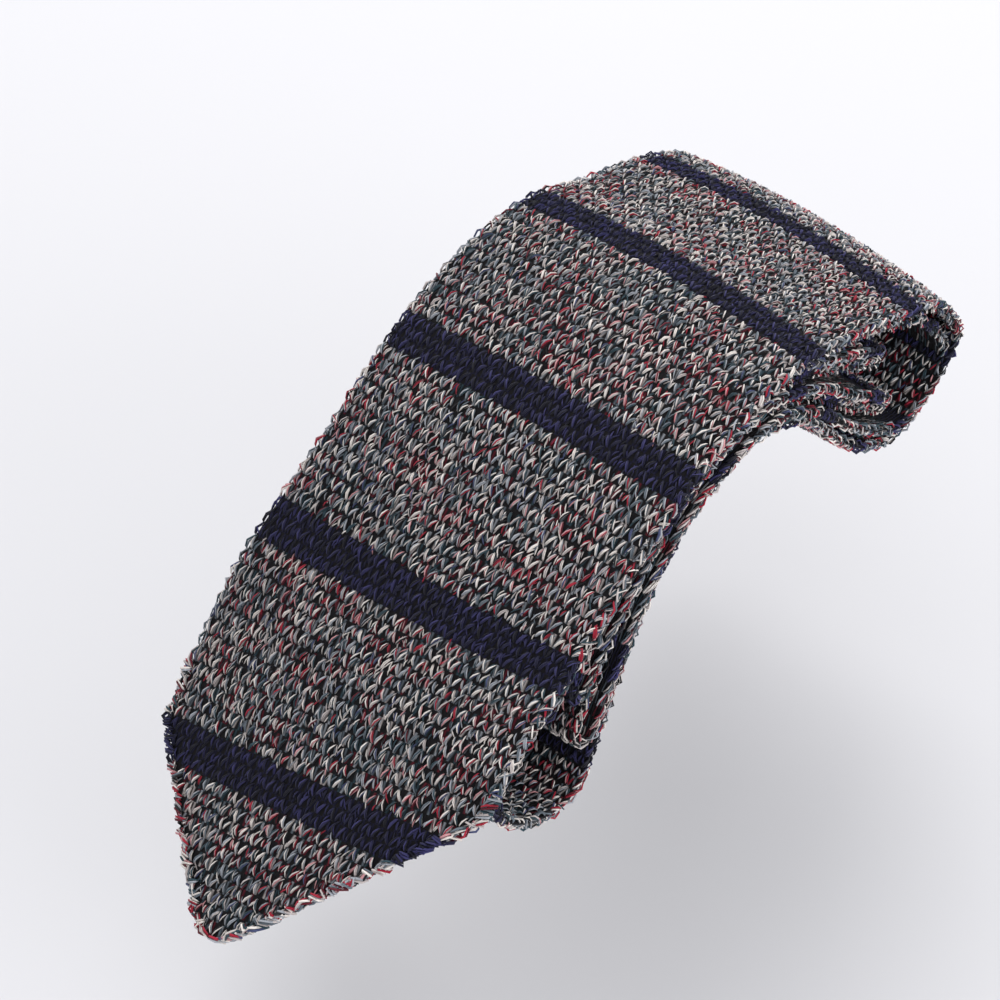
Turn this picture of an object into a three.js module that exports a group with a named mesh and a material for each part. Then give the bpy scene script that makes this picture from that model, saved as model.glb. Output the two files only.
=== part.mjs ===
// A knitted necktie, folded into a flat bundle of nine layers and hung over
// a round bar, so that its pointed blade slopes down in front.
//
// The tie is knitted in one piece as a flat tube, so it is one solid: a band
// of cloth, two plies thick, carried along its folded path. Millimetres, +Z
// up. X runs across the tie and Y along it, from the point to the far loop.
// The origin is on the underside of the bundle, at the top of its arch.

import * as THREE from "three";

const { clamp, degToRad, lerp, smoothstep } = THREE.MathUtils;

// Driving dimensions of the cloth
const cornerWidth = 66; // across the corners of the point
const bladeWidth = 68; // at its widest, where it flares above the corners
const bodyWidth = 63; // of the blade above its flared end
const neckWidth = 40; // the narrow stretch that goes round the neck
const tailWidth = 43; // the narrow end
const clothThickness = 1.8; // two plies of knit lying on each other
const pointLength = 34; // from the corners of the point to its tip
const pointLean = 3; // the -X corner is this much nearer the tip, and +X further
const tipRadius = 6.5; // the tip is blunt, because the knit rounds it

// Driving dimensions of the bundle
const layerGap = 0.35; // air between two layers pressed together
const archSpan = 100; // from the front foot to the far foot of the arch
const archRise = 45; // from the front foot up to the seat
const freeBlade = 14; // from the bundle's front to the corners of the point
const bladeSlope = 42; // of the free blade below the horizontal, in degrees
const bladeRoll = 7; // the free blade's +X side is raised, in degrees
const bladeCrown = 2.4; // how far the blade's sides droop below its middle
const bladeSkew = 10; // turn of the courses near the point, in degrees
const tipAside = 2; // the tip hangs this far to the -X side of the middle

// The bundle is seen from its side, as a stack of layers on an arch. Each
// row is one place along the arch: where the underside is, as shares of
// archSpan and archRise, how far the stack leans towards the far end and
// how far the blade is rolled up to the +X side there, in degrees, and how
// high the stack stands as a multiple of the tight one.
const archRows = [
  { along: -0.385, up: -1.0, lean: -49, roll: 6, looseness: 2.0 },
  { along: -0.345, up: -0.8, lean: -50, roll: 4, looseness: 1.79 },
  { along: -0.295, up: -0.57, lean: -48, roll: 2, looseness: 1.53 },
  { along: -0.225, up: -0.31, lean: -44, roll: 0, looseness: 1.24 },
  { along: -0.125, up: -0.09, lean: -30, roll: -1, looseness: 1.04 },
  { along: 0, up: 0, lean: -3, roll: -2, looseness: 1.04 },
  { along: 0.13, up: -0.022, lean: 11, roll: -3, looseness: 1.11 },
  { along: 0.26, up: -0.21, lean: 19, roll: -3, looseness: 1.31 },
  { along: 0.37, up: -0.485, lean: 24, roll: -4, looseness: 1.76 },
  { along: 0.46, up: -0.67, lean: 34, roll: -4.5, looseness: 1.96 },
  { along: 0.53, up: -0.765, lean: 46, roll: -5, looseness: 1.8 },
];
const frontRow = 0;
const farRow = archRows.length - 1;

// Layers are numbered from the underside up, so 0 lies on the bar and 8 is
// the blade. Each row is the air above a layer, as its share of all the
// slack in the stack, at the front and at the far end.
const slackRows = [
  { above: 0, front: 0.1, far: 0.13 },
  { above: 1, front: 0.08, far: 0.11 },
  { above: 2, front: 0.16, far: 0.05 },
  { above: 3, front: 0.08, far: 0.35 },
  { above: 4, front: 0.13, far: 0.05 },
  { above: 5, front: 0.1, far: 0.03 },
  { above: 6, front: 0.2, far: 0.14 },
  { above: 7, front: 0.15, far: 0.14 },
];
const layerCount = slackRows.length + 1;

// The order in which the tie runs through the layers: twice round the
// outside, then to and fro within. The tie leaves each layer at the row
// given by leaves, and turns to the next one there. A turn's bulge is its
// depth over half the height that it spans. The +X edges lie nearly flush:
// inset is how far a layer's edge is inside the blade's, as a share of
// bladeWidth.
const courseOfLayers = [
  { layer: 8, leaves: farRow, bulge: 0.55, inset: 0 },
  { layer: 0, leaves: frontRow, bulge: 0.6, inset: 0.05 },
  { layer: 7, leaves: 9.8, bulge: 1.0, inset: 0.03 },
  { layer: 1, leaves: 0.8, bulge: 1.0, inset: 0.04 },
  { layer: 2, leaves: 9.3, bulge: 1.0, inset: 0.06 },
  { layer: 3, leaves: 1.6, bulge: 1.0, inset: 0.05 },
  { layer: 4, leaves: 8.4, bulge: 1.0, inset: 0.06 },
  { layer: 5, leaves: 1.2, bulge: 1.0, inset: 0.06 },
  { layer: 6, leaves: 7.2, bulge: 0, inset: 0.08 },
];

// Where the blade flares and ends its flare, where the tie narrows to the
// neck and where it widens to the tail, as shares of its whole length
const flaring = { from: 0.022, widest: 0.037, to: 0.068 };
const narrowing = { from: 0.13, to: 0.62 };
const widening = { from: 0.75, to: 1 };

// How finely the band is cut into facets
const rowStep = 0.5;
const turnSteps = 8;
const freeSteps = 3;
const pointSteps = 7;
const acrossSteps = 5;

// A column of archRows, read between its rows along a smooth curve.
function columnAt(column, row) {
  const points = archRows.map((values, index) => new THREE.Vector2(index, values[column]));
  return new THREE.SplineCurve(points).getPoint(row / farRow).y;
}

// Heights above the underside of the middles of the layers, at a place
// along the arch, from the thickness, the gap and the slack between them.
function layerHeights(row) {
  const tight = layerCount * clothThickness + slackRows.length * layerGap;
  const slack = tight * (columnAt("looseness", row) - 1);
  const heights = [clothThickness / 2];
  for (const air of slackRows) {
    const part = lerp(air.front, air.far, row / farRow);
    const last = heights[heights.length - 1];
    heights.push(last + clothThickness + layerGap + slack * part);
  }
  return heights;
}

// One place on the tie's middle line: the middle itself seen from the side,
// the direction in which the stack stands there, and how the cloth droops
// and rolls across its width. The blade droops and rolls fully, and the
// underside, which lies on the bar, not at all.
function layerStation({ layer, inset }, row) {
  const lean = degToRad(columnAt("lean", row));
  const up = new THREE.Vector2(Math.sin(lean), Math.cos(lean));
  const foot = new THREE.Vector2(
    archSpan * columnAt("along", row),
    archRise * columnAt("up", row),
  );
  const heights = layerHeights(row);
  const share = heights[layer] / heights[layerCount - 1];
  return {
    middle: foot.addScaledVector(up, heights[layer]),
    up,
    crown: bladeCrown * share,
    roll: degToRad(columnAt("roll", row)) * share,
    inset: inset * bladeWidth,
  };
}

// The rows at which a layer is cut, from where the tie enters it to where
// it leaves. All layers share the whole steps, so their facets lie parallel.
function rowsBetween(from, to) {
  const low = Math.min(from, to);
  const high = Math.max(from, to);
  const rows = [low];
  for (let row = frontRow; row <= farRow; row += rowStep) {
    if (row > low + rowStep / 5 && row < high - rowStep / 5) rows.push(row);
  }
  rows.push(high);
  return from < to ? rows : rows.reverse();
}

// The turn from one layer to the next, as a smooth curve that leaves the
// first layer and enters the second along their own directions.
function turnStations(course, next, towards) {
  const row = course.leaves;
  const start = layerStation(course, row);
  const end = layerStation(next, row);
  const inner = row - towards * rowStep;
  const heading = (layer, station) =>
    station.middle.clone().sub(layerStation(layer, inner).middle).normalize();
  const handle = (start.middle.distanceTo(end.middle) / 2) * course.bulge * (4 / 3);
  const curve = new THREE.CubicBezierCurve(
    start.middle,
    start.middle.clone().addScaledVector(heading(course, start), handle),
    end.middle.clone().addScaledVector(heading(next, end), handle),
    end.middle,
  );
  return Array.from({ length: turnSteps - 1 }, (_, index) => {
    const share = (index + 1) / turnSteps;
    return {
      middle: curve.getPoint(share),
      up: start.up,
      crown: lerp(start.crown, end.crown, share),
      roll: lerp(start.roll, end.roll, share),
      inset: lerp(start.inset, end.inset, share),
    };
  });
}

// The free blade, from its tip up to where it joins the top of the bundle.
// Its stations crowd together towards the tip, which is round.
function bladeStations() {
  const joint = layerStation(courseOfLayers[0], frontRow);
  const slope = degToRad(bladeSlope);
  const down = new THREE.Vector2(-Math.cos(slope), -Math.sin(slope));
  const up = new THREE.Vector2(-Math.sin(slope), Math.cos(slope));
  const overhang = freeBlade + pointLength;
  const nearCorner = pointLength - pointLean;
  const farCorner = pointLength + pointLean;
  const fromTip = [];
  for (let step = 0; step < pointSteps; step += 1) {
    fromTip.push(nearCorner * (step / pointSteps) ** 2);
  }
  fromTip.push(nearCorner, pointLength, farCorner);
  for (let step = 1; step < freeSteps; step += 1) {
    fromTip.push(lerp(farCorner, overhang, step / freeSteps));
  }
  const distances = fromTip.map((distance) => overhang - distance);
  return distances.map((distance) => ({
    middle: joint.middle.clone().addScaledVector(down, distance),
    up: up.clone().lerp(joint.up, 1 - distance / overhang),
    crown: joint.crown,
    roll: lerp(joint.roll, degToRad(bladeRoll), distance / overhang),
    inset: joint.inset,
  }));
}

// Every station of the tie's middle line, from the tip to the tail's end,
// with its distance from the tip and its direction.
function tieStations() {
  const stations = bladeStations();
  let entered = frontRow;
  courseOfLayers.forEach((course, index) => {
    for (const row of rowsBetween(entered, course.leaves)) {
      stations.push(layerStation(course, row));
    }
    const next = courseOfLayers[index + 1];
    const towards = Math.sign(course.leaves - entered);
    if (next) stations.push(...turnStations(course, next, towards));
    entered = course.leaves;
  });
  stations.forEach((station, index) => {
    const before = stations[Math.max(index - 1, 0)];
    const after = stations[Math.min(index + 1, stations.length - 1)];
    station.along = after.middle.clone().sub(before.middle).normalize();
    station.distance = index ? before.distance + station.middle.distanceTo(before.middle) : 0;
  });
  return stations;
}

// The tie's full width at a share of its length, without the point: the
// blade, then a long taper to the neck, and the tail.
function fullWidth(share) {
  const flared = smoothstep(share, flaring.from, flaring.widest);
  const settled = smoothstep(share, flaring.widest, flaring.to);
  const narrowed = smoothstep(share, narrowing.from, narrowing.to);
  const widened = smoothstep(share, widening.from, widening.to);
  const blade = lerp(lerp(cornerWidth, bladeWidth, flared), bodyWidth, settled);
  return lerp(lerp(blade, neckWidth, narrowed), tailWidth, widened);
}

// Half the tie's width at a station, on a side where the point is as long
// as given. It grows from a round tip along a straight side to the corner.
function halfWidth(distance, share, sideLength) {
  const full = fullWidth(share) / 2;
  if (distance >= sideLength) return full;
  const angle = Math.atan2(full, sideLength);
  const touch = tipRadius * (1 - Math.sin(angle));
  if (distance >= touch) {
    const side = (distance - touch) / (sideLength - touch);
    return lerp(tipRadius * Math.cos(angle), full, side);
  }
  const round = Math.sqrt(tipRadius ** 2 - (tipRadius - distance) ** 2);
  return Math.max(round, clothThickness);
}

// The points of a ring round the flat tube: its upper face, the round edge
// on the +X side, its lower face and the other edge. across and high are
// shares of the half width and half thickness.
function sectionPoints() {
  const shares = Array.from({ length: acrossSteps + 1 }, (_, index) => (2 * index) / acrossSteps - 1);
  return [
    ...shares.map((across) => ({ across, high: 1 })),
    { across: 1, high: 0 },
    ...shares.toReversed().map((across) => ({ across, high: -1 })),
    { across: -1, high: 0 },
  ];
}

// The closed band: rings of points round the tube at every station, joined
// by facets, with a flat cap at the tip and at the tail's end.
function tieGeometry() {
  const stations = tieStations();
  const length = stations[stations.length - 1].distance;
  const section = sectionPoints();
  const radius = clothThickness / 2;
  const positions = [];
  for (const { middle, up, along, crown, roll, inset, distance } of stations) {
    const normal = new THREE.Vector2(-along.y, along.x);
    const share = distance / length;
    const toTip = clamp(1 - distance / pointLength, 0, 1);
    const aside = (bladeWidth - fullWidth(share)) / 2 - inset - tipAside * toTip;
    const skewed = 1 - smoothstep(distance, pointLength, 2.5 * pointLength);
    const skew = Math.tan(degToRad(bladeSkew * skewed));
    for (const { across, high } of section) {
      const half = halfWidth(distance, share, pointLength + Math.sign(across) * pointLean);
      const x = across * (high === 0 ? half : half - radius);
      const fromMiddle = (aside + x) / (bladeWidth / 2);
      const raised = (aside + x) * Math.tan(roll) - crown * fromMiddle ** 2;
      const place = middle
        .clone()
        .addScaledVector(normal, high * radius)
        .addScaledVector(along, x * skew)
        .addScaledVector(up, raised);
      positions.push(aside + x, place.x, place.y);
    }
  }
  return bandGeometry(positions, stations.length, section.length);
}

// Joins rings of points into one closed surface with its faces outwards.
function bandGeometry(positions, ringCount, ringSize) {
  const indices = [];
  for (let ring = 0; ring + 1 < ringCount; ring += 1) {
    for (let side = 0; side < ringSize; side += 1) {
      const a = ring * ringSize + side;
      const b = ring * ringSize + ((side + 1) % ringSize);
      indices.push(a, b, a + ringSize, b, b + ringSize, a + ringSize);
    }
  }
  const lastRing = (ringCount - 1) * ringSize;
  for (let side = 1; side + 1 < ringSize; side += 1) {
    indices.push(0, side + 1, side);
    indices.push(lastRing, lastRing + side, lastRing + side + 1);
  }
  const geometry = new THREE.BufferGeometry();
  geometry.setAttribute("position", new THREE.Float32BufferAttribute(positions, 3));
  geometry.setIndex(indices);
  geometry.computeVertexNormals();
  return geometry;
}

const heatherKnit = new THREE.MeshStandardMaterial({
  color: 0x7d7a80,
  roughness: 0.95,
  metalness: 0,
});

const knitTie = new THREE.Mesh(tieGeometry(), heatherKnit);
knitTie.name = "knit_tie";

const part = new THREE.Group();
part.add(knitTie);

export default part;
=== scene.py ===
# A knit tie in heathered yarn with navy stripes, folded into a flat bundle and
# hung in an arch. Metres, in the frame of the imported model: X runs across the
# tie, Y along the bundle, and the origin is under the top of its arch.

import math

import bpy
import numpy as np
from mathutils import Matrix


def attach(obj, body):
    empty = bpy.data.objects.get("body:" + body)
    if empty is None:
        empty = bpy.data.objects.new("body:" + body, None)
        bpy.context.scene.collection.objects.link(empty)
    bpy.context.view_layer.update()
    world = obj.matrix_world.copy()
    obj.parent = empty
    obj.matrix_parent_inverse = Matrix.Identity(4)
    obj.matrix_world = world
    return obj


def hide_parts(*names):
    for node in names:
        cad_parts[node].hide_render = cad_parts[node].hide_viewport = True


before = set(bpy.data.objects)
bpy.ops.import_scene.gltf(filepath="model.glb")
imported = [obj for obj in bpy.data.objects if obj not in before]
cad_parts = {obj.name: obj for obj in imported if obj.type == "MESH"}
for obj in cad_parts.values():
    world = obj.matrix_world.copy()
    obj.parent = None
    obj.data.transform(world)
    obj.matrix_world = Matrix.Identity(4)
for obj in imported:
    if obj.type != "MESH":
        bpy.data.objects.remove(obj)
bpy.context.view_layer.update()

# The camera stands above the point's +X side, at the photograph's angle. Its
# lens is the one that gives the photograph's perspective.
camera_data = bpy.data.cameras.new("camera")
sensor_width = 36
focal_length = 79.2
camera_data.sensor_width = sensor_width
camera_data.lens = focal_length
camera = bpy.data.objects.new("camera", camera_data)
camera.location = (0.1701, -0.2358, 0.2603)
camera_azimuth = math.radians(39.04)
camera_elevation = math.radians(44.69)
camera.rotation_euler = (math.pi / 2 - camera_elevation, 0, camera_azimuth)
bpy.context.collection.objects.link(camera)
bpy.context.scene.camera = camera


# The cloth is one flat tube of knit, two plies thick, from the point of the
# blade to the end of the tail. It is folded to and fro into nine layers, and
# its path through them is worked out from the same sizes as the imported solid.
MM = 0.001
corner_width = 66 * MM
blade_width = 68 * MM
body_width = 63 * MM
neck_width = 40 * MM
tail_width = 43 * MM
cloth_thickness = 1.8 * MM
point_length = 34 * MM
point_lean = 3 * MM
tip_radius = 6.5 * MM
layer_gap = 0.35 * MM
arch_span = 100 * MM
arch_rise = 45 * MM
free_blade = 14 * MM
blade_slope = math.radians(42)
blade_roll = math.radians(7)
blade_crown = 2.4 * MM
blade_skew = math.radians(10)
tip_aside = 2 * MM

# Each row is one place along the arch: the underside's place as shares of
# the span and rise, the stack's lean and the blade's roll there in degrees,
# and the height of the stack as a multiple of the tight one.
arch_columns = ("along", "up", "lean", "roll", "looseness")
arch_rows = [
    (-0.385, -1.0, -49, 6, 2.0),
    (-0.345, -0.8, -50, 4, 1.79),
    (-0.295, -0.57, -48, 2, 1.53),
    (-0.225, -0.31, -44, 0, 1.24),
    (-0.125, -0.09, -30, -1, 1.04),
    (0, 0, -3, -2, 1.04),
    (0.13, -0.022, 11, -3, 1.11),
    (0.26, -0.21, 19, -3, 1.31),
    (0.37, -0.485, 24, -4, 1.76),
    (0.46, -0.67, 34, -4.5, 1.96),
    (0.53, -0.765, 46, -5, 1.8),
]
front_row = 0
far_row = len(arch_rows) - 1

# The air above each layer, as its share of the slack, at the front and far end.
slack_rows = [
    (0.1, 0.13),
    (0.08, 0.11),
    (0.16, 0.05),
    (0.08, 0.35),
    (0.13, 0.05),
    (0.1, 0.03),
    (0.2, 0.14),
    (0.15, 0.14),
]
layer_count = len(slack_rows) + 1

# The order in which the tie runs through its layers: the layer, the row at
# which it leaves it, the bulge of the turn there, and the inset of its edge.
course_rows = [
    (8, far_row, 0.55, 0),
    (0, front_row, 0.6, 0.05),
    (7, 9.8, 1.0, 0.03),
    (1, 0.8, 1.0, 0.04),
    (2, 9.3, 1.0, 0.06),
    (3, 1.6, 1.0, 0.05),
    (4, 8.4, 1.0, 0.06),
    (5, 1.2, 1.0, 0.06),
    (6, 7.2, 0, 0.08),
]
flaring = (0.022, 0.037, 0.068)
narrowing = (0.13, 0.62)
widening = (0.75, 1)
heading_step = 0.5
row_step = 0.1
turn_steps = 28
free_steps = 48


def arch_column(name, rows):
    """A column of arch_rows read between its rows: a Catmull-Rom curve, whose tangent
    at each row is half the difference of that row's two neighbours."""
    values = np.array(arch_rows, float)[:, arch_columns.index(name)]
    last = len(values) - 1
    index = np.clip(np.floor(rows).astype(int), 0, last)
    weight = rows - index
    before = values[np.maximum(index - 1, 0)]
    here = values[index]
    after = values[np.minimum(index + 1, last)]
    beyond = values[np.minimum(index + 2, last)]
    tangent = (after - before) / 2
    next_tangent = (beyond - here) / 2
    cubic = (2 * here - 2 * after + tangent + next_tangent) * weight**3
    square = (3 * after - 3 * here - 2 * tangent - next_tangent) * weight**2
    return cubic + square + tangent * weight + here


def layer_stations(layer, inset, rows):
    """Places on a layer's middle line: the foot on the underside plus the leaning up
    direction times the layer's height. Droop and roll grow with that height."""
    lean = np.radians(arch_column("lean", rows))
    up = np.stack([np.sin(lean), np.cos(lean)], -1)
    foot_y = arch_span * arch_column("along", rows)
    foot_z = arch_rise * arch_column("up", rows)
    tight = layer_count * cloth_thickness + len(slack_rows) * layer_gap
    slack = tight * (arch_column("looseness", rows) - 1)
    far_share = rows / far_row
    heights = [np.full(len(rows), cloth_thickness / 2)]
    for front, far in slack_rows:
        air = front + (far - front) * far_share
        heights.append(heights[-1] + cloth_thickness + layer_gap + slack * air)
    share = heights[layer] / heights[-1]
    return {
        "middle": np.stack([foot_y, foot_z], -1) + up * heights[layer][:, None],
        "up": up,
        "crown": blade_crown * share,
        "roll": np.radians(arch_column("roll", rows)) * share,
        "inset": np.full(len(rows), inset * blade_width),
    }


def turn_stations(course, following, towards):
    """The turn between two layers: a cubic Bezier curve that leaves one layer and
    enters the other along their own directions, with handles of 4/3 of its depth."""
    layer, leaves, bulge, inset = course
    rows = np.array([leaves, leaves - towards * heading_step])
    start = layer_stations(layer, inset, rows)
    end = layer_stations(following[0], following[3], rows)
    out = start["middle"][0] - start["middle"][1]
    back = end["middle"][0] - end["middle"][1]
    first, last = start["middle"][0], end["middle"][0]
    handle = np.linalg.norm(last - first) / 2 * bulge * 4 / 3
    second = first + out / np.linalg.norm(out) * handle
    third = last + back / np.linalg.norm(back) * handle
    t = (np.arange(1, turn_steps) / turn_steps)[:, None]
    middle = (
        (1 - t) ** 3 * first
        + 3 * (1 - t) ** 2 * t * second
        + 3 * (1 - t) * t**2 * third
        + t**3 * last
    )
    turned = {"middle": middle, "up": np.repeat(start["up"][:1], turn_steps - 1, 0)}
    for name in ("crown", "roll", "inset"):
        turned[name] = start[name][0] + (end[name][0] - start[name][0]) * t[:, 0]
    return turned


def blade_stations():
    """The free blade, from its tip up to the bundle: a straight slope whose up
    direction and roll change evenly along it."""
    joint = layer_stations(*course_rows[0][::3], np.array([float(front_row)]))
    down = np.array([-math.cos(blade_slope), -math.sin(blade_slope)])
    slope_up = np.array([-math.sin(blade_slope), math.cos(blade_slope)])
    overhang = free_blade + point_length
    share = (1 - np.arange(free_steps) / free_steps)[:, None]
    return {
        "middle": joint["middle"] + down * share * overhang,
        "up": slope_up + (joint["up"] - slope_up) * (1 - share),
        "crown": np.repeat(joint["crown"], free_steps),
        "roll": joint["roll"] + (blade_roll - joint["roll"]) * share[:, 0],
        "inset": np.repeat(joint["inset"], free_steps),
    }


def tie_stations():
    """Every station from the tip to the tail's end, with its distance along the
    middle line, its direction, and the distance at which each layer begins."""
    parts = [blade_stations()]
    starts = []
    entered = float(front_row)
    for index, course in enumerate(course_rows):
        layer, leaves, _, inset = course
        count = int(round(abs(leaves - entered) / row_step)) + 1
        starts.append(sum(len(part["crown"]) for part in parts))
        parts.append(layer_stations(layer, inset, np.linspace(entered, leaves, count)))
        if index + 1 < len(course_rows):
            towards = math.copysign(1, leaves - entered)
            parts.append(turn_stations(course, course_rows[index + 1], towards))
        entered = leaves
    path = {name: np.concatenate([part[name] for part in parts]) for name in parts[0]}
    steps = np.linalg.norm(np.diff(path["middle"], axis=0), axis=1)
    path["distance"] = np.concatenate([[0], np.cumsum(steps)])
    along = np.gradient(path["middle"], axis=0)
    path["along"] = along / np.linalg.norm(along, axis=1)[:, None]
    return path, path["distance"][starts]


path, layer_starts = tie_stations()
tie_length = path["distance"][-1]


def smooth(value, low, high):
    """0 below low, 1 above high, and 3t^2 - 2t^3 between them."""
    t = np.clip((value - low) / (high - low), 0, 1)
    return t * t * (3 - 2 * t)


def full_width(distance):
    """The tie's width without its point: corners, flare, body, neck and tail."""
    share = distance / tie_length
    flare = corner_width + (blade_width - corner_width) * smooth(share, *flaring[:2])
    blade = flare + (body_width - flare) * smooth(share, *flaring[1:])
    neck = blade + (neck_width - blade) * smooth(share, *narrowing)
    return neck + (tail_width - neck) * smooth(share, *widening)


def half_width(distance, side):
    """Half the width on the side -1 or +1: a round tip, then a straight side that is
    tangent to it and runs to the corner, then half the full width."""
    full = full_width(distance) / 2
    length = point_length + side * point_lean
    angle = np.arctan2(full, length)
    touch = tip_radius * (1 - np.sin(angle))
    low = tip_radius * np.cos(angle)
    straight = low + (full - low) * np.clip((distance - touch) / (length - touch), 0, 1)
    depth = np.clip(tip_radius - distance, 0, tip_radius)
    round_tip = np.maximum(np.sqrt(tip_radius**2 - depth**2), cloth_thickness)
    return np.where(distance < touch, round_tip, straight)


def along_path(name, distance):
    """A value of the path's stations, read between them by distance."""
    values = path[name]
    if values.ndim == 1:
        return np.interp(distance, path["distance"], values)
    columns = [np.interp(distance, path["distance"], column) for column in values.T]
    return np.stack(columns, -1)


def cloth_middle(distance, x):
    """A point of the cloth's middle surface: the path's middle, moved x across, drooped
    by the square of that, rolled, and slid along with x where the courses are askew."""
    to_tip = np.clip(1 - distance / point_length, 0, 1)
    aside = (blade_width - full_width(distance)) / 2 - along_path("inset", distance)
    across = aside - tip_aside * to_tip + x
    settled = 1 - smooth(distance, point_length, 2.5 * point_length)
    droop = along_path("crown", distance) * (across / (blade_width / 2)) ** 2
    raised = across * np.tan(along_path("roll", distance)) - droop
    middle = along_path("middle", distance)
    slid = x * np.tan(blade_skew * settled)
    place = middle + along_path("along", distance) * slid[..., None]
    place = place + along_path("up", distance) * raised[..., None]
    return np.concatenate([across[..., None], place], -1)


ground_half = 0.5 * MM
edge_arc = math.pi * ground_half
slope_step = 0.2 * MM


def cloth(distance, around, proud):
    """A point at a height proud of the cloth's ground. around is the way round the
    flat tube from the middle of its face: over the face, round the +X edge, and back
    under it, or with a minus sign round the -X edge."""
    side = np.where(around < 0, -1.0, 1.0)
    flat = half_width(distance, side) - cloth_thickness / 2
    past = np.clip((np.abs(around) - flat) / edge_arc, 0, 1)
    under = np.maximum(np.abs(around) - flat - edge_arc, 0)
    x = side * (np.minimum(np.abs(around), flat) - under)
    turn = past * np.pi
    here = cloth_middle(distance, x)
    tangent = cloth_middle(distance + slope_step, x) - cloth_middle(distance - slope_step, x)
    across = cloth_middle(distance, x + slope_step) - cloth_middle(distance, x - slope_step)
    across = across / np.linalg.norm(across, axis=-1, keepdims=True)
    normal = np.cross(across, tangent)
    normal = normal / np.linalg.norm(normal, axis=-1, keepdims=True)
    outward = np.cos(turn)[..., None] * normal + (side * np.sin(turn))[..., None] * across
    return here + outward * (ground_half + proud)[..., None], outward


# The knit runs in courses across the tie and in columns along it. Sixteen
# courses make one repeat, of which three are knitted in navy yarn.
course_height = 2.425 * MM
first_course = 0.5 * MM
courses_in_repeat = 16
navy_middle_course = 11
face_columns = 35
course_count = int((tie_length - first_course) / course_height)


def column_pitch(distance):
    """The width of a column: the flat width shared among the columns. On the point it
    stays as it is at the corners."""
    width = full_width(np.maximum(distance, point_length)) - cloth_thickness
    return width / face_columns


def is_navy(course):
    """Whether a course is one of the three navy ones of its repeat."""
    place = (course - navy_middle_course + courses_in_repeat // 2) % courses_in_repeat
    return np.abs(place - courses_in_repeat // 2) <= 1


def build_mesh(name, points, quads, triangles, uv):
    """A mesh object from arrays of points, quads and triangles. uv has one row for
    each corner, of the quads first and then of the triangles."""
    mesh = bpy.data.meshes.new(name)
    corners = np.concatenate([quads.ravel(), triangles.ravel()])
    sizes = np.repeat([4, 3], [len(quads), len(triangles)])
    mesh.vertices.add(len(points))
    mesh.vertices.foreach_set("co", points.ravel())
    mesh.loops.add(len(corners))
    mesh.loops.foreach_set("vertex_index", corners)
    mesh.polygons.add(len(sizes))
    mesh.polygons.foreach_set("loop_start", np.concatenate([[0], np.cumsum(sizes)[:-1]]))
    mesh.polygons.foreach_set("loop_total", sizes)
    mesh.update(calc_edges=True)
    mesh.polygons.foreach_set("use_smooth", np.ones(len(sizes), bool))
    mesh.uv_layers.new(name="yarn").data.foreach_set("uv", uv.ravel())
    piece = bpy.data.objects.new(name, mesh)
    bpy.context.collection.objects.link(piece)
    return piece


# The ground is the tie's own cloth, one closed band. The
# raised stitches stand on it, and between them its weave shows, painted in
# darkened yarn colours over a near-black painted shade for the deep gaps
# between the stitches.
ring_step = 1.2 * MM
face_cells = 12
edge_cells = 4


def ring_places(distance):
    """The way round the tube at every point of a ring: the face from its -X side, the
    +X edge, the back, and the -X edge. Also how far that is when followed onwards."""
    right = half_width(distance, 1) - cloth_thickness / 2
    left = half_width(distance, -1) - cloth_thickness / 2
    across = (left + right) * np.arange(face_cells) / face_cells
    edge = np.arange(edge_cells) / edge_cells * edge_arc
    far_edge = right + edge_arc
    parts = [across - left, right + edge, far_edge + across, edge - left - edge_arc]
    rings = len(distance)
    parts = [np.broadcast_to(part, (rings, part.shape[1])) for part in parts]
    around = np.concatenate(parts, 1)
    full_turn = 2 * (left + right) + 2 * edge_arc
    last_edge = np.arange(around.shape[1]) >= 2 * face_cells + edge_cells
    onwards = np.where(last_edge, around + full_turn, around)
    return around, np.concatenate([onwards, onwards[:, :1] + full_turn], 1)


def make_ground():
    """Rings round the flat tube carried along its path, joined into a closed surface.
    Its map holds the column and the course, so that the weave follows the cloth."""
    distance = np.linspace(0, tie_length, int(tie_length / ring_step) + 1)[:, None]
    around, onwards = ring_places(distance)
    rings, size = around.shape
    points, _ = cloth(np.broadcast_to(distance, around.shape), around, np.zeros(around.shape))
    ring, side = np.meshgrid(np.arange(rings - 1), np.arange(size), indexing="ij")
    ring, side = ring.ravel(), side.ravel()
    after = (side + 1) % size
    near, far = ring * size, (ring + 1) * size
    quads = np.stack([near + side, near + after, far + after, far + side], -1)
    fan = np.arange(1, size - 1)
    first_cap = np.stack([np.zeros_like(fan), fan + 1, fan], -1)
    last_cap = np.stack([np.zeros_like(fan), fan, fan + 1], -1) + (rings - 1) * size
    triangles = np.concatenate([first_cap, last_cap])
    column = onwards / column_pitch(distance)
    course = np.broadcast_to((distance - first_course) / course_height, column.shape)
    corner_ring = np.stack([ring, ring, ring + 1, ring + 1], -1)
    corner_side = np.stack([side, side + 1, side + 1, side], -1)
    here = (corner_ring, corner_side)
    uv = np.stack([column[here], course[here]], -1).reshape(-1, 2)
    uv = np.concatenate([uv, np.zeros((triangles.size, 2))])
    return build_mesh("knit_ground", points.reshape(-1, 3), quads, triangles, uv)


def new_material(name, roughness, sheen):
    """A cloth material, its nodes, its shader and the function that links two nodes."""
    material = bpy.data.materials.new(name)
    material.use_nodes = True
    nodes = material.node_tree.nodes
    shader = nodes["Principled BSDF"]
    shader.inputs["Roughness"].default_value = roughness
    shader.inputs["Sheen Weight"].default_value = sheen
    shader.inputs["Sheen Roughness"].default_value = 0.5
    shader.inputs["Specular IOR Level"].default_value = 0.3
    return material, nodes, shader, material.node_tree.links.new


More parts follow.
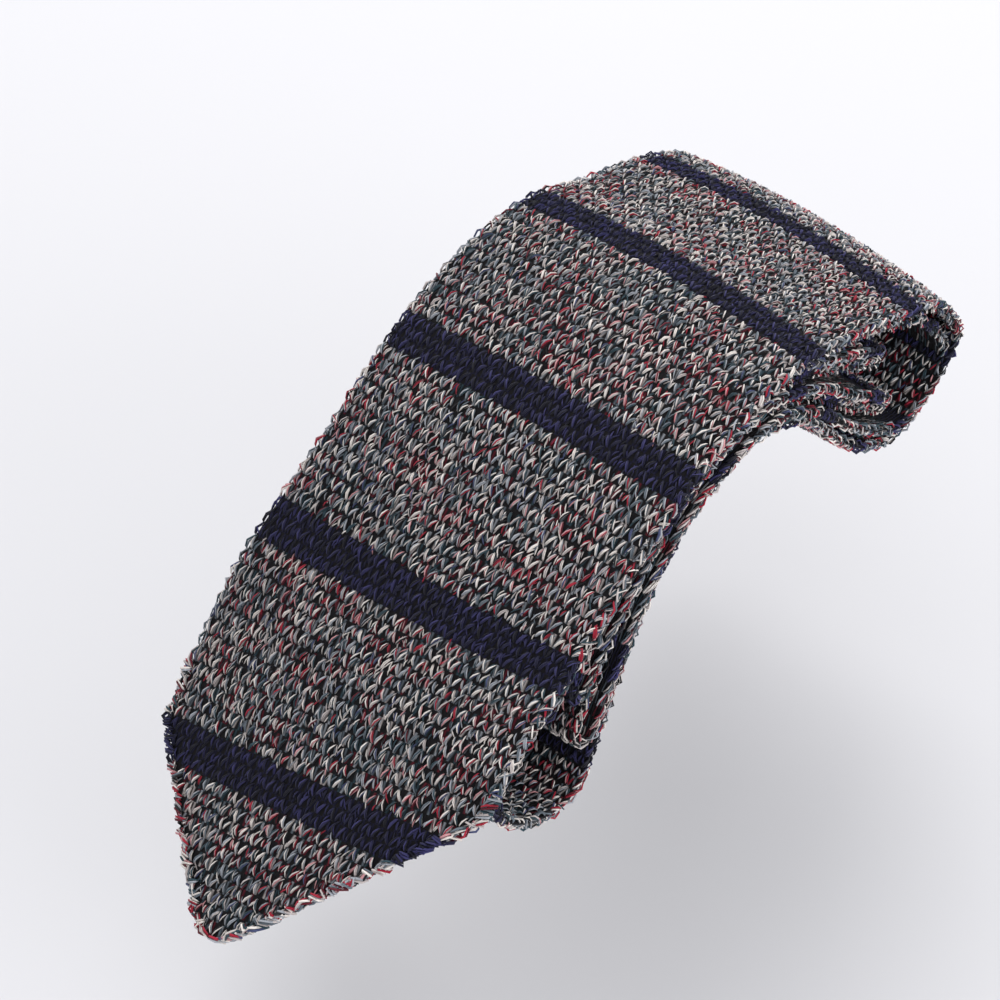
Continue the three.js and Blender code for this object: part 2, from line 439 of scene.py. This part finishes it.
def linear(red, green, blue):
    """A colour given in 0 to 255 as a screen shows it, made linear for a shader."""
    shown = np.array([red, green, blue]) / 255
    return np.where(shown <= 0.04045, shown / 12.92, ((shown + 0.055) / 1.055) ** 2.4)


yarn_colours = {
    "cream": linear(240, 232, 226),
    "warm": linear(204, 194, 192),
    "cool": linear(170, 174, 182),
    "steel": linear(108, 118, 128),
    "rose": linear(206, 148, 152),
    "crimson": linear(168, 30, 54),
    "wine": linear(104, 22, 40),
    "teal": linear(50, 74, 84),
    "slate": linear(70, 78, 116),
    "ink": linear(22, 20, 26),
}
navy_colours = [linear(43, 42, 82), linear(30, 30, 60), linear(57, 55, 106), linear(18, 18, 34)]
# Yarn colours for the legs painted on the ground, far more often ink, steel and teal than on the
# strands: partly the yarn's own colours, partly painted shade for the sunken ground.
shaded_ground_colours = (
    ("ink", 0),
    ("steel", 0.22),
    ("wine", 0.36),
    ("teal", 0.5),
    ("warm", 0.64),
    ("ink", 0.76),
    ("cool", 0.88),
)
# Near-black painted shade for the deep gaps between the stitches.
gap_shade_colour = linear(17, 15, 18)
painted_foot = 0.14
painted_spread = 0.2
painted_sharpness = 5.0
# A painted leg keeps only this share of its yarn colour; the rest is the painted gap shade.
painted_share = 0.75
painted_relief = 0.4 * MM


def ground_material():
    """Two legs of a V in each column and course, drawn where a leg's middle line runs
    out from the column's middle. A random number for each leg picks its colour."""
    material, nodes, shader, link = new_material("knit_ground", 0.95, 0)

    def worked(operation, *values, clamp=False):
        """A Math node's output, for inputs that are numbers or other nodes' outputs."""
        node = nodes.new("ShaderNodeMath")
        node.operation = operation
        node.use_clamp = clamp
        for socket, value in zip(node.inputs, values):
            if isinstance(value, (int, float)):
                socket.default_value = value
            else:
                link(value, socket)
        return node.outputs[0]

    def mixed(share, first, second):
        """A Mix node's output: the first colour where the share is 0, the second at 1."""
        node = nodes.new("ShaderNodeMix")
        node.data_type = "RGBA"
        link(share, node.inputs["Factor"])
        for socket, value in ((node.inputs["A"], first), (node.inputs["B"], second)):
            if isinstance(value, np.ndarray):
                socket.default_value = (*value, 1)
            else:
                link(value, socket)
        return node.outputs["Result"]

    place = nodes.new("ShaderNodeUVMap")
    place.uv_map = "yarn"
    parts = nodes.new("ShaderNodeSeparateXYZ")
    link(place.outputs[0], parts.inputs[0])
    column, course = parts.outputs[0], parts.outputs[1]
    from_middle = worked("SUBTRACT", worked("FRACT", worked("ADD", column, 0.5)), 0.5)
    leg_middle = worked("MULTIPLY_ADD", worked("FRACT", course), painted_spread, painted_foot)
    away = worked("ABSOLUTE", worked("SUBTRACT", worked("ABSOLUTE", from_middle), leg_middle))
    leg = worked("SUBTRACT", 1.0, worked("MULTIPLY", away, painted_sharpness), clamp=True)
    cell = nodes.new("ShaderNodeCombineXYZ")
    link(worked("FLOOR", worked("MULTIPLY", column, 2.0)), cell.inputs[0])
    link(worked("FLOOR", course), cell.inputs[1])
    chance = nodes.new("ShaderNodeTexWhiteNoise")
    chance.noise_dimensions = "2D"
    link(cell.outputs[0], chance.inputs["Vector"])
    ramp = nodes.new("ShaderNodeValToRGB")
    ramp.color_ramp.interpolation = "CONSTANT"
    stops = ramp.color_ramp.elements
    stops.remove(stops[-1])
    for colour, low in shaded_ground_colours:
        stop = stops.new(low) if low else stops[0]
        stop.color = (*yarn_colours[colour], 1)
    link(chance.outputs["Value"], ramp.inputs[0])
    since_navy = worked("SUBTRACT", course, navy_middle_course - 1.0)
    repeat_place = worked("FRACT", worked("DIVIDE", since_navy, courses_in_repeat))
    navy = worked("LESS_THAN", repeat_place, 3 / courses_in_repeat)
    yarn = mixed(navy, ramp.outputs[0], navy_colours[1])
    painted = worked("MULTIPLY", leg, painted_share)
    # Off the legs the ground is the painted gap shade, and on the legs a quarter of it stays.
    link(mixed(painted, gap_shade_colour, yarn), shader.inputs["Base Color"])
    bump = nodes.new("ShaderNodeBump")
    bump.inputs["Strength"].default_value = 1.0
    bump.inputs["Distance"].default_value = painted_relief
    link(worked("POWER", leg, 0.5), bump.inputs["Height"])
    link(bump.outputs[0], shader.inputs["Normal"])
    return material


knit_ground = make_ground()
knit_ground.data.materials.append(ground_material())
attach(knit_ground, "root")
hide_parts("knit_tie")


# The stitches are made of the yarn that lies on the ground. A stitch is a V of
# two legs, and the heather yarn is plied from strands dyed apart, so that a
# leg shows two or three thin strands of different colours side by side.
draw = np.random.default_rng(20)

# How often each of yarn_colours comes up in a pale, a middling and a dark
# strand, and how much more often where the yarn runs reddish or bluish.
strand_rows = [
    (54, 22, 15, 3, 5, 1, 0, 1, 0, 0),
    (20, 20, 22, 16, 7, 6, 2, 6, 3, 2),
    (3, 6, 10, 15, 4, 14, 9, 19, 8, 12),
]
tint_row = (0, 0.2, -0.2, -0.5, 0.9, 1, 0.9, -0.9, -0.6, 0)
tint_depth = 0.8
tint_waves = 9
shortest_wave = 9 * MM
longest_wave = 40 * MM
wave_lengths = draw.uniform(shortest_wave, longest_wave, tint_waves)
wave_headings = draw.uniform(0, math.pi, tint_waves)
wave_starts = draw.uniform(0, 2 * math.pi, tint_waves)

leg_places = np.array([0, 0.16, 0.5, 0.84, 1])
leg_rings = len(leg_places) - 2
leg_sides = 3
end_girth = 0.07
start_scatter = 0.45
twist_scatter = 0.9
dullest_shade = 0.8
brightest_shade = 1.12


def tint(distance, x):
    """How reddish the yarn runs at a place on the cloth: a sum of waves over it, each
    with its own length and heading, held between -1 and 1."""
    along = distance[:, None] * np.cos(wave_headings) + x[:, None] * np.sin(wave_headings)
    waves = np.sin(2 * np.pi * along / wave_lengths + wave_starts)
    return np.clip(waves.sum(1) / 3, -1, 1)


def strand_colours(course, distance, x, count):
    """A colour for each of a leg's strands. Heather strands draw theirs from the odds
    of strand_rows, shifted by the tint there, and navy ones from the navy colours."""
    pale, middling, dark = np.array(strand_rows, float)
    odds = {
        1: [(pale + middling + dark) / 3],
        2: [(pale + middling) / 2, dark],
        3: [pale, middling, dark],
    }[count]
    reddish = tint(distance, x)[:, None, None]
    odds = np.array(odds) * (1 + tint_depth * reddish * np.array(tint_row))
    chances = np.cumsum(odds, -1) / odds.sum(-1, keepdims=True)
    drawn = draw.random((len(course), count, 1))
    heather = np.array(list(yarn_colours.values()))[(drawn > chances[..., :-1]).sum(-1)]
    picks = draw.integers(0, len(navy_colours), (len(course), count))
    navy = np.array(navy_colours)[picks]
    shade = draw.uniform(dullest_shade, brightest_shade, (len(course), count, 1))
    return np.where(is_navy(course)[:, None, None], navy, heather) * shade


def leg_strands(start, end, lifts, spread, radius, colours):
    """The points of a leg's strands. The leg runs from start to end, in distance and
    way round, and rises as a sine between its two lifts. Its strands lie side by side
    at a distance of spread from its middle line, twist a little round it, and both
    they and their thickness shrink to the ends as a sine's root."""
    legs, strands = colours.shape[:2]
    t = leg_places
    distance = start[:, :1] + (end - start)[:, :1] * t
    around = start[:, 1:] + (end - start)[:, 1:] * t
    lift = lifts[0][:, None] + (lifts[1] - lifts[0])[:, None] * np.sin(np.pi * t)
    centre, outward = cloth(distance, around, lift)
    tangent = np.gradient(centre, axis=1)
    sideways = np.cross(outward, tangent)
    sideways = sideways / np.linalg.norm(sideways, axis=-1, keepdims=True)
    upwards = np.cross(tangent, sideways)
    upwards = upwards / np.linalg.norm(upwards, axis=-1, keepdims=True)
    girth = np.sqrt(np.sin(np.pi * (end_girth + (1 - 2 * end_girth) * t)))
    first = draw.normal(0, start_scatter, legs) + (np.pi / 2 if strands == 3 else 0)
    first = first + np.pi * draw.integers(0, 2, legs)
    twist = draw.normal(0, twist_scatter, legs)
    angle = first[:, None] + np.arange(strands) * 2 * np.pi / strands
    angle = angle[..., None] + twist[:, None, None] * (t - 0.5)
    away = (spread * girth)[None, None, :, None]
    middle = centre[:, None] + away * (
        np.cos(angle)[..., None] * sideways[:, None]
        + np.sin(angle)[..., None] * upwards[:, None]
    )
    spin = np.arange(leg_sides) / leg_sides * 2 * np.pi
    spoke = (
        np.cos(spin)[:, None] * sideways[:, None, 1:-1, None]
        + np.sin(spin)[:, None] * upwards[:, None, 1:-1, None]
    )
    thick = (radius * draw.uniform(0.85, 1.15, (legs, strands)))[..., None] * girth[1:-1]
    rings = middle[:, :, 1:-1, None] + spoke * thick[..., None, None]
    points = rings.reshape(legs * strands, -1, 3)
    tips = middle[:, :, [0, -1]].reshape(legs * strands, 2, 3)
    return np.concatenate([points, tips], 1)


def strand_faces():
    """The faces of one strand, as quads between its rings and triangles at its tips,
    with a map that runs round it in u and along it in v."""
    ring, side = np.meshgrid(np.arange(leg_rings - 1), np.arange(leg_sides), indexing="ij")
    ring, side = ring.ravel(), side.ravel()
    after = (side + 1) % leg_sides
    near, far = ring * leg_sides, (ring + 1) * leg_sides
    quads = np.stack([near + side, near + after, far + after, far + side], -1)
    lone = np.arange(leg_sides)
    lone_after = (lone + 1) % leg_sides
    last = (leg_rings - 1) * leg_sides
    tip = np.full(leg_sides, leg_rings * leg_sides)
    first_fan = np.stack([lone_after, lone, tip], -1)
    last_fan = np.stack([lone + last, lone_after + last, tip + 1], -1)
    ring_v = leg_places[1:-1]
    quad_u = np.stack([side, side + 1, side + 1, side], -1) / leg_sides
    quad_v = ring_v[np.stack([ring, ring, ring + 1, ring + 1], -1)]
    fan_u = np.stack([lone + 1, lone, lone + 0.5], -1) / leg_sides
    first_v = np.broadcast_to([ring_v[0], ring_v[0], 0], fan_u.shape)
    last_v = np.broadcast_to([ring_v[-1], ring_v[-1], 1], fan_u.shape)
    last_u = np.stack([lone, lone + 1, lone + 0.5], -1) / leg_sides
    quad_uv = np.stack([quad_u, quad_v], -1).reshape(-1, 2)
    first_uv = np.stack([fan_u, first_v], -1).reshape(-1, 2)
    last_uv = np.stack([last_u, last_v], -1).reshape(-1, 2)
    triangles = np.concatenate([first_fan, last_fan])
    return quads, triangles, quad_uv, np.concatenate([first_uv, last_uv])


def yarn_material(name):
    """Yarn: each strand's own colour, streaked and bumped by the fine fibres that run
    along it aslant."""
    material, nodes, shader, link = new_material(name, 0.7, 0.05)
    strand = nodes.new("ShaderNodeVertexColor")
    strand.layer_name = "strand"
    place = nodes.new("ShaderNodeUVMap")
    place.uv_map = "yarn"
    stretch = nodes.new("ShaderNodeMapping")
    stretch.inputs["Scale"].default_value = (9, 2, 1)
    stretch.inputs["Rotation"].default_value = (0, 0, 0.35)
    link(place.outputs[0], stretch.inputs["Vector"])
    fibres = nodes.new("ShaderNodeTexNoise")
    fibres.inputs["Scale"].default_value = 1.0
    fibres.inputs["Detail"].default_value = 2
    link(stretch.outputs[0], fibres.inputs["Vector"])
    streak = nodes.new("ShaderNodeMapRange")
    streak.inputs["From Min"].default_value = 0.3
    streak.inputs["From Max"].default_value = 0.7
    streak.inputs["To Min"].default_value = 0.72
    streak.inputs["To Max"].default_value = 1.12
    link(fibres.outputs[0], streak.inputs["Value"])
    tinted = nodes.new("ShaderNodeVectorMath")
    tinted.operation = "SCALE"
    link(strand.outputs[0], tinted.inputs[0])
    link(streak.outputs[0], tinted.inputs["Scale"])
    link(tinted.outputs[0], shader.inputs["Base Color"])
    bump = nodes.new("ShaderNodeBump")
    bump.inputs["Strength"].default_value = 0.4
    bump.inputs["Distance"].default_value = 0.05 * MM
    link(fibres.outputs[0], bump.inputs["Height"])
    link(bump.outputs[0], shader.inputs["Normal"])
    return material


heather_yarn = yarn_material("heather_yarn")
navy_yarn = yarn_material("navy_yarn")
navy_strands = []


def yarn_piece(name, points, colours, material):
    """One piece of many strands, each a closed thin spindle of one colour. The map of
    each strand starts at its own whole number, so that no two have the same fibres."""
    quads, triangles, quad_uv, triangle_uv = strand_faces()
    count, size = points.shape[:2]
    offset = (np.arange(count) * size)[:, None, None]
    started = np.stack([draw.integers(0, 60, count), draw.integers(0, 60, count)], -1)[:, None]
    uv = np.concatenate([(quad_uv + started).reshape(-1, 2), (triangle_uv + started).reshape(-1, 2)])
    piece = build_mesh(
        name,
        points.reshape(-1, 3),
        (quads + offset).reshape(-1, 4),
        (triangles + offset).reshape(-1, 3),
        uv,
    )
    opaque = np.concatenate([colours, np.ones((count, 1))], 1)
    corners = [np.repeat(opaque, len(quad_uv), 0), np.repeat(opaque, len(triangle_uv), 0)]
    layer = piece.data.color_attributes.new("strand", "FLOAT_COLOR", "CORNER")
    layer.data.foreach_set("color", np.concatenate(corners).ravel())
    piece.data.materials.append(material)
    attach(piece, "root")


def knit(name, course, start, end, lifts, spread, radius, x, strands):
    """Makes the heather legs of a block into a piece, and keeps its navy legs for the
    piece that holds all of those."""
    colours = strand_colours(course, start[:, 0], x, strands)
    points = leg_strands(start, end, lifts, spread, radius, colours)
    navy = np.repeat(is_navy(course), strands)
    colours = colours.reshape(-1, 3)
    navy_strands.append((points[navy], colours[navy]))
    yarn_piece(name, points[~navy], colours[~navy], heather_yarn)


# The face and back of the cloth are a rib with a raised V on every second
# column, one column over in the next course. Between them the Vs are sunk and
# smaller. They are built where the folded tie shows them.
raised_stitch = {
    "length": 2.2 * MM,
    "foot": 0.18 * MM,
    "head": 1.04 * MM,
    "lift": 0.64 * MM,
    "sink": 0.08 * MM,
    "spread": 0.155 * MM,
    "radius": 0.155 * MM,
}
sunk_stitch = {
    "length": 1.75 * MM,
    "foot": 0.15 * MM,
    "head": 0.62 * MM,
    "lift": 0.24 * MM,
    "sink": -0.05 * MM,
    "spread": 0.13 * MM,
    "radius": 0.14 * MM,
}
every_column = np.arange(-(face_columns // 2), face_columns // 2 + 1)
along_scatter = 0.12 * MM
across_scatter = 0.08 * MM
lean_scatter = 0.12 * MM
lift_scatter = 0.07 * MM
lone_strand_girth = 1.5
tip_margin = 0.2 * MM
near_edges = every_column[np.abs(every_column) >= 7]
at_edges = every_column[np.abs(every_column) >= 10]


def stitches(name, low, high, kind, strands, back=False, columns=every_column):
    """The two legs of every V of one kind between two distances from the tip. The legs
    meet towards the tip and open away from it. On the back the way round is counted
    from behind the edge."""
    courses = np.arange(math.ceil(low / course_height), math.ceil(high / course_height))
    course, column = np.meshgrid(courses, columns, indexing="ij")
    keep = (course + column) % 2 == (0 if kind is raised_stitch else 1)
    course, column = course[keep], column[keep]
    distance = first_course + (course + 0.5) * course_height
    x = column * column_pitch(distance)
    side = np.where(x < 0, -1.0, 1.0)
    flat = half_width(distance, side) - cloth_thickness / 2
    inside = np.abs(x) < flat
    course, distance, x, side, flat = (v[inside] for v in (course, distance, x, side, flat))
    around = side * (2 * flat + edge_arc - np.abs(x)) if back else x
    leg = np.tile([-1.0, 1.0], len(course))
    course, distance, around, x = (np.repeat(v, 2) for v in (course, distance, around, x))
    count = len(course)
    length = kind["length"] * draw.uniform(0.86, 1.12, count)
    distance = distance + draw.normal(0, along_scatter, count)
    around = around + draw.normal(0, across_scatter, count)
    lean = draw.normal(0, lean_scatter, count)
    foot = np.maximum(distance - length / 2, tip_margin)
    start = np.stack([foot, around + leg * kind["foot"]], -1)
    end = np.stack([distance + length / 2, around + leg * kind["head"] + lean], -1)
    top = kind["lift"] + draw.normal(0, lift_scatter, count)
    lifts = (np.full(count, kind["sink"]), top)
    spread = kind["spread"] if strands > 1 else 0
    radius = kind["radius"] * (1 if strands > 1 else lone_strand_girth)
    knit(name, course, start, end, lifts, spread, radius, x, strands)


# The blade's stitches end where the far loop's begin, and the underside's run
# on from that loop round the front fold. The insides of both turns show too.
loop_start = layer_starts[1] - 42 * MM
fold_start = layer_starts[2]
underside_end = fold_start + 14 * MM
blade_back_end = 78 * MM
stitches("blade_raised_stitches", 0, loop_start, raised_stitch, 3)
stitches("blade_sunk_stitches", 0, loop_start, sunk_stitch, 2)
stitches("loop_raised_stitches", loop_start, layer_starts[1], raised_stitch, 2)
stitches("loop_sunk_stitches", loop_start, layer_starts[1], sunk_stitch, 2)
stitches("underside_raised_stitches", layer_starts[1], underside_end, raised_stitch, 2)
stitches("underside_sunk_stitches", layer_starts[1], underside_end, sunk_stitch, 1)
stitches("blade_back_raised_stitches", 0, blade_back_end, raised_stitch, 2, True)
stitches("blade_back_sunk_stitches", 0, blade_back_end, sunk_stitch, 1, True)
loop_inside = (loop_start - 14 * MM, layer_starts[1] + 34 * MM)
stitches("loop_inside_raised_stitches", *loop_inside, raised_stitch, 2, True)
stitches("loop_inside_sunk_stitches", *loop_inside, sunk_stitch, 1, True)
fold_inside = (fold_start - 80 * MM, underside_end)
stitches("fold_inside_raised_stitches", *fold_inside, raised_stitch, 2, True)
stitches("fold_inside_sunk_stitches", *fold_inside, sunk_stitch, 1, True)
between = (loop_inside[1], fold_inside[0])
stitches("underside_inside_raised_stitches", *between, raised_stitch, 1, True, at_edges)
stitches("underside_inside_sunk_stitches", *between, sunk_stitch, 1, True, at_edges)


loose_heading = 0.5
loose_sink = -0.1 * MM
loose_radius = 0.145 * MM
body_end = 205 * MM


def loose_strands(name, low, high):
    """Single thin strands that lie in the gaps between the Vs, one for each column and
    course, at a random place, height and heading near the length of the tie."""
    course, column = np.meshgrid(
        np.arange(math.ceil(low / course_height), math.ceil(high / course_height)),
        every_column,
        indexing="ij",
    )
    course, column = course.ravel(), column.ravel()
    count = len(course)
    distance = first_course + (course + draw.uniform(0, 1, count)) * course_height
    x = (column + draw.uniform(-0.5, 0.5, count)) * column_pitch(distance)
    side = np.where(x < 0, -1.0, 1.0)
    flat = half_width(distance, side) - cloth_thickness / 2
    inside = np.abs(x) < flat
    course, distance, x = (v[inside] for v in (course, distance, x))
    count = len(course)
    half = draw.uniform(0.6, 1.1, count) * MM
    aside = half * np.sin(draw.normal(0, loose_heading, count))
    start = np.stack([np.maximum(distance - half, tip_margin), x - aside], -1)
    end = np.stack([distance + half, x + aside], -1)
    top = draw.uniform(0.1, 0.42, count) * MM
    lifts = (np.full(count, loose_sink), top)
    knit(name, course, start, end, lifts, 0, loose_radius, x, 1)


loose_strands("blade_loose_strands", 0, loop_start)
loose_strands("body_loose_strands", point_length, body_end)

# The turns of the inner layers, by the layer that each one enters: how far
# back the turn begins, and whether the cloth's back is outermost there.
inner_turns = [
    (3, 30, False),
    (4, 12, False),
    (5, 14, True),
    (6, 14, False),
    (7, 14, True),
    (8, 14, False),
]
past_turn = 6 * MM
for turn, (entered, reach, is_back) in enumerate(inner_turns):
    turn_end = layer_starts[entered]
    turn_span = (turn_end - reach * MM, turn_end + past_turn)
    name = f"inner_turn_{turn + 1}"
    stitches(name + "_raised", *turn_span, raised_stitch, 1, is_back, near_edges)
    stitches(name + "_sunk", *turn_span, sunk_stitch, 1, is_back, near_edges)


# Along both edges the knit turns round from the face to the back. There a
# chain of Vs runs along every layer, and slanting strands of the next column
# are drawn round the edge over it.
chain_length = 3.0 * MM
chain_foot = 0.2 * MM
chain_head = 0.9 * MM
chain_spread = 0.2 * MM
chain_radius = 0.21 * MM


def edge_chain(name, side):
    """Vs along the very edge: their middle line is the middle of the edge's arc. Those
    of every second course stand a little higher."""
    course = np.repeat(np.arange(course_count - 1), 2)
    leg = np.tile([-1.0, 1.0], course_count - 1)
    distance = first_course + (course + 0.5) * course_height
    count = len(course)
    flat = half_width(distance, side) - cloth_thickness / 2
    length = chain_length * draw.uniform(0.85, 1.1, count)
    foot = np.maximum(distance - length / 2, tip_margin)
    middle = side * (edge_arc / 2) + draw.normal(0, 0.12 * MM, count)
    foot_flat = half_width(foot, side) - cloth_thickness / 2
    head_flat = half_width(distance + length / 2, side) - cloth_thickness / 2
    start = np.stack([foot, side * foot_flat + middle + leg * chain_foot], -1)
    head = side * head_flat + middle + leg * chain_head
    end = np.stack([distance + length / 2, head], -1)
    top = 0.5 * MM + 0.3 * MM * (course % 2) + draw.normal(0, 0.1 * MM, count)
    lifts = (np.full(count, 0.05 * MM), top)
    knit(name, course, start, end, lifts, chain_spread, chain_radius, side * flat, 2)


wrap_length = 2.3 * MM
wrap_spread = 0.15 * MM
wrap_radius = 0.14 * MM


def edge_wraps(name, side):
    """Strands that slant round the edge from the face to the back, one bundle in each
    course above the point."""
    course = np.arange(int(point_length / course_height), course_count - 1)
    count = len(course)
    distance = first_course + (course + 0.15) * course_height
    distance = distance + draw.normal(0, 0.15 * MM, count)
    head = distance + wrap_length * draw.uniform(0.6, 1.2, count)
    foot_flat = half_width(distance, side) - cloth_thickness / 2
    head_flat = half_width(head, side) - cloth_thickness / 2
    face_end = foot_flat - draw.uniform(0.3, 1.0, count) * MM
    back_end = head_flat + edge_arc * draw.uniform(0.4, 1.1, count)
    start = np.stack([distance, side * face_end], -1)
    end = np.stack([head, side * back_end], -1)
    lifts = (np.full(count, 0.2 * MM), 0.6 * MM + draw.normal(0, 0.12 * MM, count))
    knit(name, course, start, end, lifts, wrap_spread, wrap_radius, side * foot_flat, 2)


loop_spacing = 0.72 * MM
loops_end = 42 * MM
outline_steps = 400
loop_spread = 0.25 * MM
loop_radius = 0.25 * MM


def point_loops(name, side):
    """The bound edge of the point: loops that pass round it from face to back, evenly
    spaced along the outline from the tip to above the corner."""
    run = np.linspace(0, loops_end, outline_steps)
    flat = half_width(run, side) - cloth_thickness / 2
    steps = np.hypot(np.diff(run), np.diff(flat))
    outline = np.concatenate([[0], np.cumsum(steps)])
    places = np.arange(0.3 * MM, outline[-1], loop_spacing)
    distance = np.interp(places, outline, run)
    count = len(distance)
    course = np.maximum(((distance - first_course) / course_height).astype(int), 0)
    flat = half_width(distance, side) - cloth_thickness / 2
    lean = draw.normal(0.2, 0.75, count) * MM
    face_end = flat - draw.uniform(0, 1.3, count) * MM
    back_end = flat + edge_arc * draw.uniform(0.5, 1.3, count)
    start = np.stack([np.maximum(distance - lean, 0.15 * MM), side * face_end], -1)
    end = np.stack([np.maximum(distance + lean, 0.15 * MM), side * back_end], -1)
    top = draw.uniform(0.6, 1.5, count) * MM
    lifts = (np.full(count, 0.3 * MM), top)
    knit(name, course, start, end, lifts, loop_spread, loop_radius, side * flat, 2)


point_loops("right_point_loops", 1)
point_loops("left_point_loops", -1)
edge_chain("right_edge_chain", 1)
edge_chain("left_edge_chain", -1)
edge_wraps("right_edge_wraps", 1)
edge_wraps("left_edge_wraps", -1)


# The stripes are knitted in with a plain navy yarn, three courses at a time.
navy_points = np.concatenate([points for points, _ in navy_strands])
navy_shades = np.concatenate([colours for _, colours in navy_strands])
yarn_piece("navy_stitches", navy_points, navy_shades, navy_yarn)


# The floor is a plain pale sheet below the arch, and the light is a large
# soft one high behind on the -X side, with a fainter one on the +X side.
floor_height = -88 * MM
floor_reach = 3.0
floor_colour = (0.665, 0.66, 0.68, 1)
floor_mesh = bpy.data.meshes.new("floor")
floor_corners = [(-1, -1), (1, -1), (1, 1), (-1, 1)]
floor_points = [(x * floor_reach, y * floor_reach, floor_height) for x, y in floor_corners]
floor_mesh.from_pydata(floor_points, [], [(0, 1, 2, 3)])
floor = bpy.data.objects.new("floor", floor_mesh)
bpy.context.collection.objects.link(floor)
floor_material, _, floor_shader, _ = new_material("pale_floor", 0.9, 0)
floor_shader.inputs["Base Color"].default_value = floor_colour
floor.data.materials.append(floor_material)

world = bpy.data.worlds.new("studio")
bpy.context.scene.world = world
world.use_nodes = True
sky = world.node_tree.nodes["Background"].inputs
sky["Color"].default_value = (0.97, 0.98, 1, 1)
sky["Strength"].default_value = 0.96


def soft_light(name, place, size, power):
    """A square area light that faces the origin."""
    data = bpy.data.lights.new(name, "AREA")
    data.size = size
    data.energy = power
    light = bpy.data.objects.new(name, data)
    light.location = place
    direction = -np.array(place) / np.linalg.norm(place)
    tilt = math.acos(-direction[2])
    light.rotation_euler = (tilt, 0, math.atan2(-direction[0], direction[1]))
    bpy.context.collection.objects.link(light)


soft_light("key", (-0.6, 0.85, 1.0), 0.7, 11)
soft_light("side", (1.0, 0.1, 0.35), 0.8, 4)
bpy.context.scene.view_settings.view_transform = "Standard"
